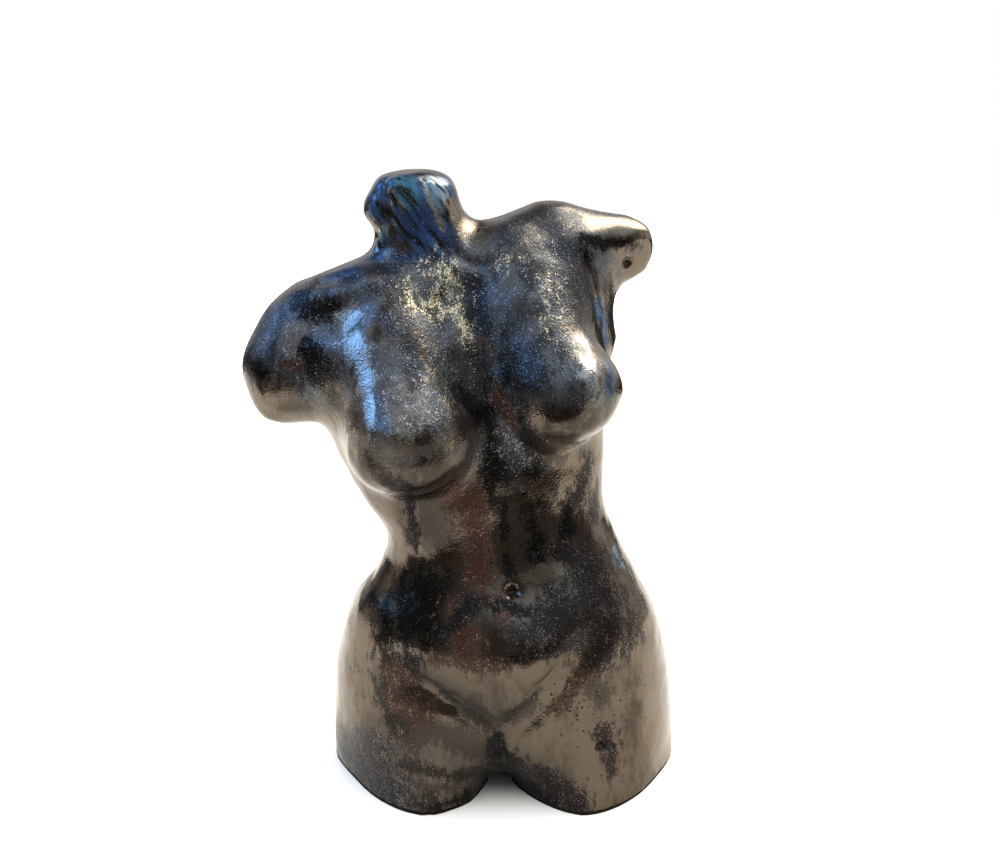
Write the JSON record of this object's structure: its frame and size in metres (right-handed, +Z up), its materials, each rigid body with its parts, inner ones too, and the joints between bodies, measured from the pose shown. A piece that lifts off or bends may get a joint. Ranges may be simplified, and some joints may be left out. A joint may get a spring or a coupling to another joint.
{
  "type": "female torso sculpture",
  "caption": "Standing female torso without head or arms, leaning and turning at the waist, in hollow-built ceramic with a dark metallic lustre glaze, for a shelf or table.",
  "frame": {"origin": "middle of the bottom of the figure's box, on the surface it stands on", "axes": "+Z up, the figure's front faces -Y, +X to the right of someone who looks at its front"},
  "size_m": [0.2474, 0.1664, 0.3621],
  "materials": {
    "lustre_glaze": "dark brown-black metallic lustre glaze, glossy, with copper, gold-flecked, grey and blue areas and fine pits"
  },
  "bodies": {
    "root": {"torso": "lustre_glaze"}
  },
  "joints": []
}
